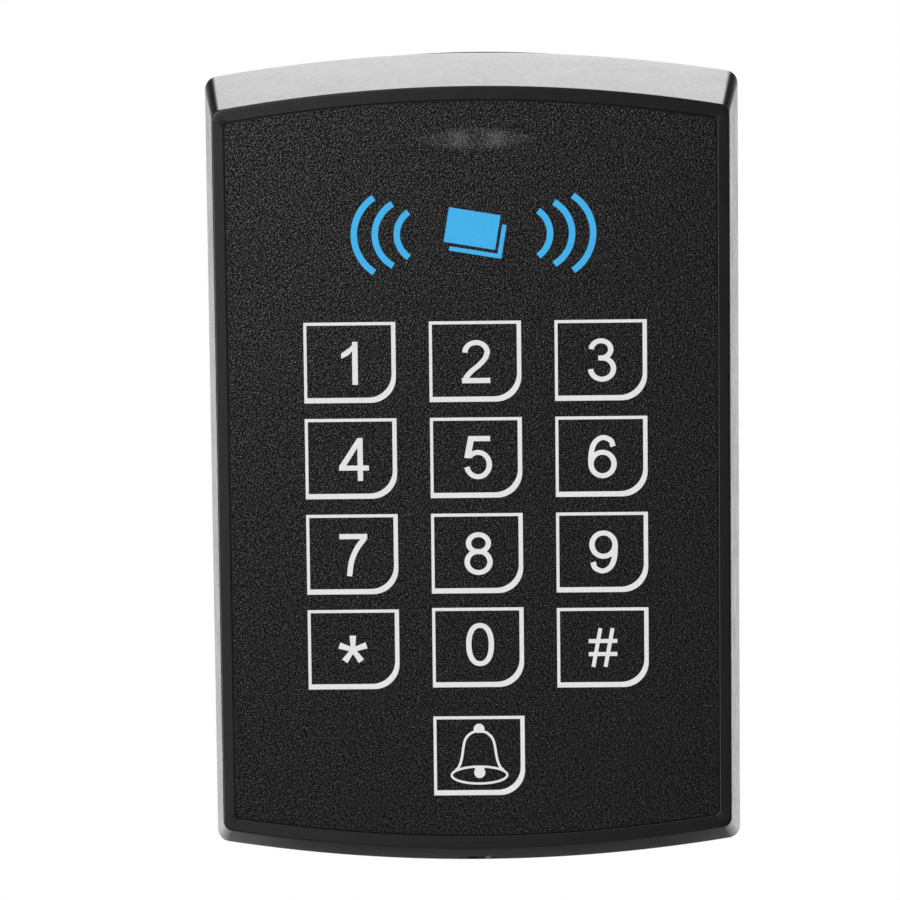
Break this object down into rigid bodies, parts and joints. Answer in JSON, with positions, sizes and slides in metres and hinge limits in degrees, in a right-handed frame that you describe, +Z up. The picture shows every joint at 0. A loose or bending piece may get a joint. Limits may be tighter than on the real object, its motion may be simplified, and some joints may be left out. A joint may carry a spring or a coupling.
{
  "type": "keypad card reader",
  "caption": "Wall-mounted proximity card reader with a numeric keypad, a doorbell key and a status window in a rounded black housing on a steel wall plate.",
  "frame": {"origin": "centre of the wall plate's rear face, on the wall plane, midway between the wall screw holes", "axes": "+Z up the wall, +X to the right seen from the front, +Y into the wall, so the keypad faces -Y"},
  "size_m": [0.075, 0.022, 0.115],
  "materials": {
    "housing_plastic": "gloss black moulded ABS",
    "overlay": "fine-grained black polycarbonate film with white and blue print",
    "smoked_window": "smoked translucent acrylic",
    "clear_plastic": "clear acrylic",
    "board": "green solder mask on glass-epoxy",
    "switch_plastic": "black moulded nylon",
    "key_plastic": "black moulded ABS",
    "stem_plastic": "natural moulded nylon",
    "copper": "enamelled copper wire",
    "chip_plastic": "black epoxy",
    "led_body": "white reflector body",
    "buzzer_plastic": "black moulded plastic",
    "relay_plastic": "ivory moulded plastic",
    "terminal_plastic": "green moulded polyamide",
    "bright_steel": "bright nickel-plated steel",
    "black_steel": "black-oxide steel",
    "capacitor_sleeve": "dark sleeve",
    "ceramic_chip": "ceramic with tinned ends",
    "sensor_ceramic": "glazed ceramic disc",
    "cover_plastic": "satin black moulded ABS",
    "zinc_plate": "zinc-plated sheet steel"
  },
  "bodies": {
    "housing": {"front_shell": "housing_plastic", "overlay_film": "overlay", "status_window": "smoked_window", "light_guide": "clear_plastic", "circuit_board": "board", "switch_bases": "switch_plastic", "antenna_coil": "copper", "microcontroller": "chip_plastic", "reader_chip": "chip_plastic", "indicator_leds": "led_body", "buzzer": "buzzer_plastic", "relay": "relay_plastic", "terminal_block": "terminal_plastic", "terminal_screws": "bright_steel", "capacitors": "capacitor_sleeve", "crystal": "bright_steel", "voltage_regulator": "chip_plastic", "chip_components": "ceramic_chip", "tamper_sensor": "sensor_ceramic", "rear_cover": "cover_plastic", "board_screws": "bright_steel", "cover_screws": "black_steel", "wall_plate": "zinc_plate", "locking_screw": "black_steel"},
    "key_1": {"plunger_1": "key_plastic", "stem_1": "stem_plastic"},
    "key_2": {"plunger_2": "key_plastic", "stem_2": "stem_plastic"},
    "key_3": {"plunger_3": "key_plastic", "stem_3": "stem_plastic"},
    "key_4": {"plunger_4": "key_plastic", "stem_4": "stem_plastic"},
    "key_5": {"plunger_5": "key_plastic", "stem_5": "stem_plastic"},
    "key_6": {"plunger_6": "key_plastic", "stem_6": "stem_plastic"},
    "key_7": {"plunger_7": "key_plastic", "stem_7": "stem_plastic"},
    "key_8": {"plunger_8": "key_plastic", "stem_8": "stem_plastic"},
    "key_9": {"plunger_9": "key_plastic", "stem_9": "stem_plastic"},
    "key_star": {"plunger_star": "key_plastic", "stem_star": "stem_plastic"},
    "key_0": {"plunger_0": "key_plastic", "stem_0": "stem_plastic"},
    "key_hash": {"plunger_hash": "key_plastic", "stem_hash": "stem_plastic"},
    "key_bell": {"plunger_bell": "key_plastic", "stem_bell": "stem_plastic"}
  },
  "joints": [
    {"name": "press_1", "type": "slide", "parent": "housing", "child": "key_1", "axis": [0, 1, 0], "range_m": [0, 0.0003]},
    {"name": "press_2", "type": "slide", "parent": "housing", "child": "key_2", "axis": [0, 1, 0], "range_m": [0, 0.0003]},
    {"name": "press_3", "type": "slide", "parent": "housing", "child": "key_3", "axis": [0, 1, 0], "range_m": [0, 0.0003]},
    {"name": "press_4", "type": "slide", "parent": "housing", "child": "key_4", "axis": [0, 1, 0], "range_m": [0, 0.0003]},
    {"name": "press_5", "type": "slide", "parent": "housing", "child": "key_5", "axis": [0, 1, 0], "range_m": [0, 0.0003]},
    {"name": "press_6", "type": "slide", "parent": "housing", "child": "key_6", "axis": [0, 1, 0], "range_m": [0, 0.0003]},
    {"name": "press_7", "type": "slide", "parent": "housing", "child": "key_7", "axis": [0, 1, 0], "range_m": [0, 0.0003]},
    {"name": "press_8", "type": "slide", "parent": "housing", "child": "key_8", "axis": [0, 1, 0], "range_m": [0, 0.0003]},
    {"name": "press_9", "type": "slide", "parent": "housing", "child": "key_9", "axis": [0, 1, 0], "range_m": [0, 0.0003]},
    {"name": "press_star", "type": "slide", "parent": "housing", "child": "key_star", "axis": [0, 1, 0], "range_m": [0, 0.0003]},
    {"name": "press_0", "type": "slide", "parent": "housing", "child": "key_0", "axis": [0, 1, 0], "range_m": [0, 0.0003]},
    {"name": "press_hash", "type": "slide", "parent": "housing", "child": "key_hash", "axis": [0, 1, 0], "range_m": [0, 0.0003]},
    {"name": "press_bell", "type": "slide", "parent": "housing", "child": "key_bell", "axis": [0, 1, 0], "range_m": [0, 0.0003]}
  ]
}
